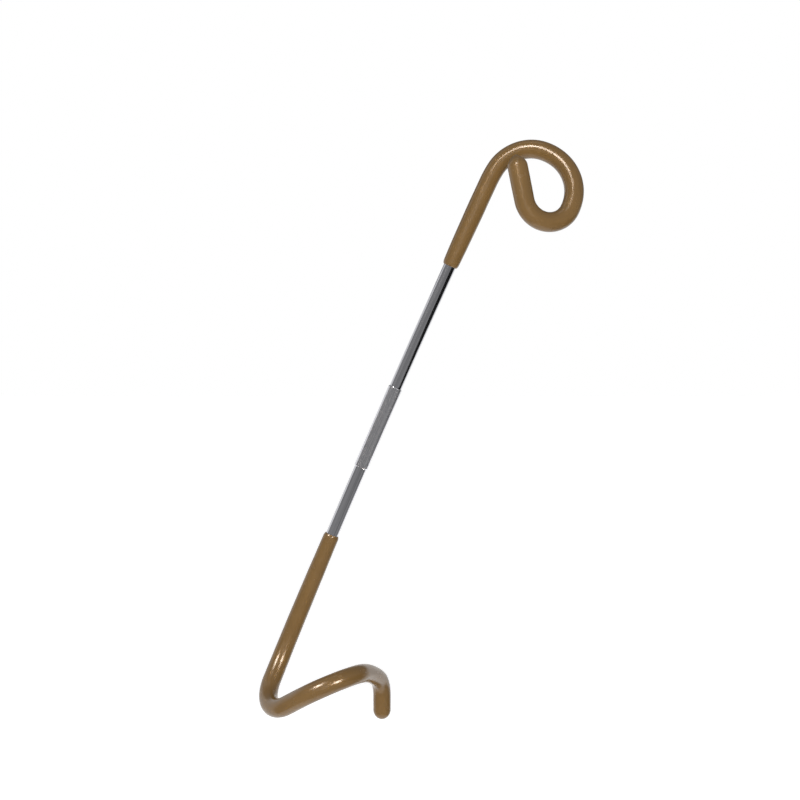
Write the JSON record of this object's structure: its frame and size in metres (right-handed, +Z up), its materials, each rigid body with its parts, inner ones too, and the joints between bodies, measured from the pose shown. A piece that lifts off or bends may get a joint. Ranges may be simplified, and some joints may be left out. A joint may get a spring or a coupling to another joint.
{
  "type": "pigtail hanging hook",
  "caption": "Bent steel rod hook for an upright pole: a dipped open eye at the top holds a lantern, and a dipped wrap at the bottom grips the pole.",
  "frame": {"origin": "in the middle of the wrap, where the upright pole goes, at the height of the wrap's foremost point", "axes": "+Z up along the pole, +X to the side that the shank leans to and the eye is on, -Y to the viewer, on the side of the pole where the wrap passes"},
  "size_m": [0.1516, 0.0511, 0.2772],
  "materials": {
    "steel_rod": "stainless steel, drawn and polished",
    "upper_coating": "glossy dipped soft PVC, sand brown",
    "lower_coating": "glossy dipped soft PVC, sand brown"
  },
  "bodies": {
    "root": {"steel_rod": "steel_rod", "upper_coating": "upper_coating", "lower_coating": "lower_coating"}
  },
  "joints": []
}
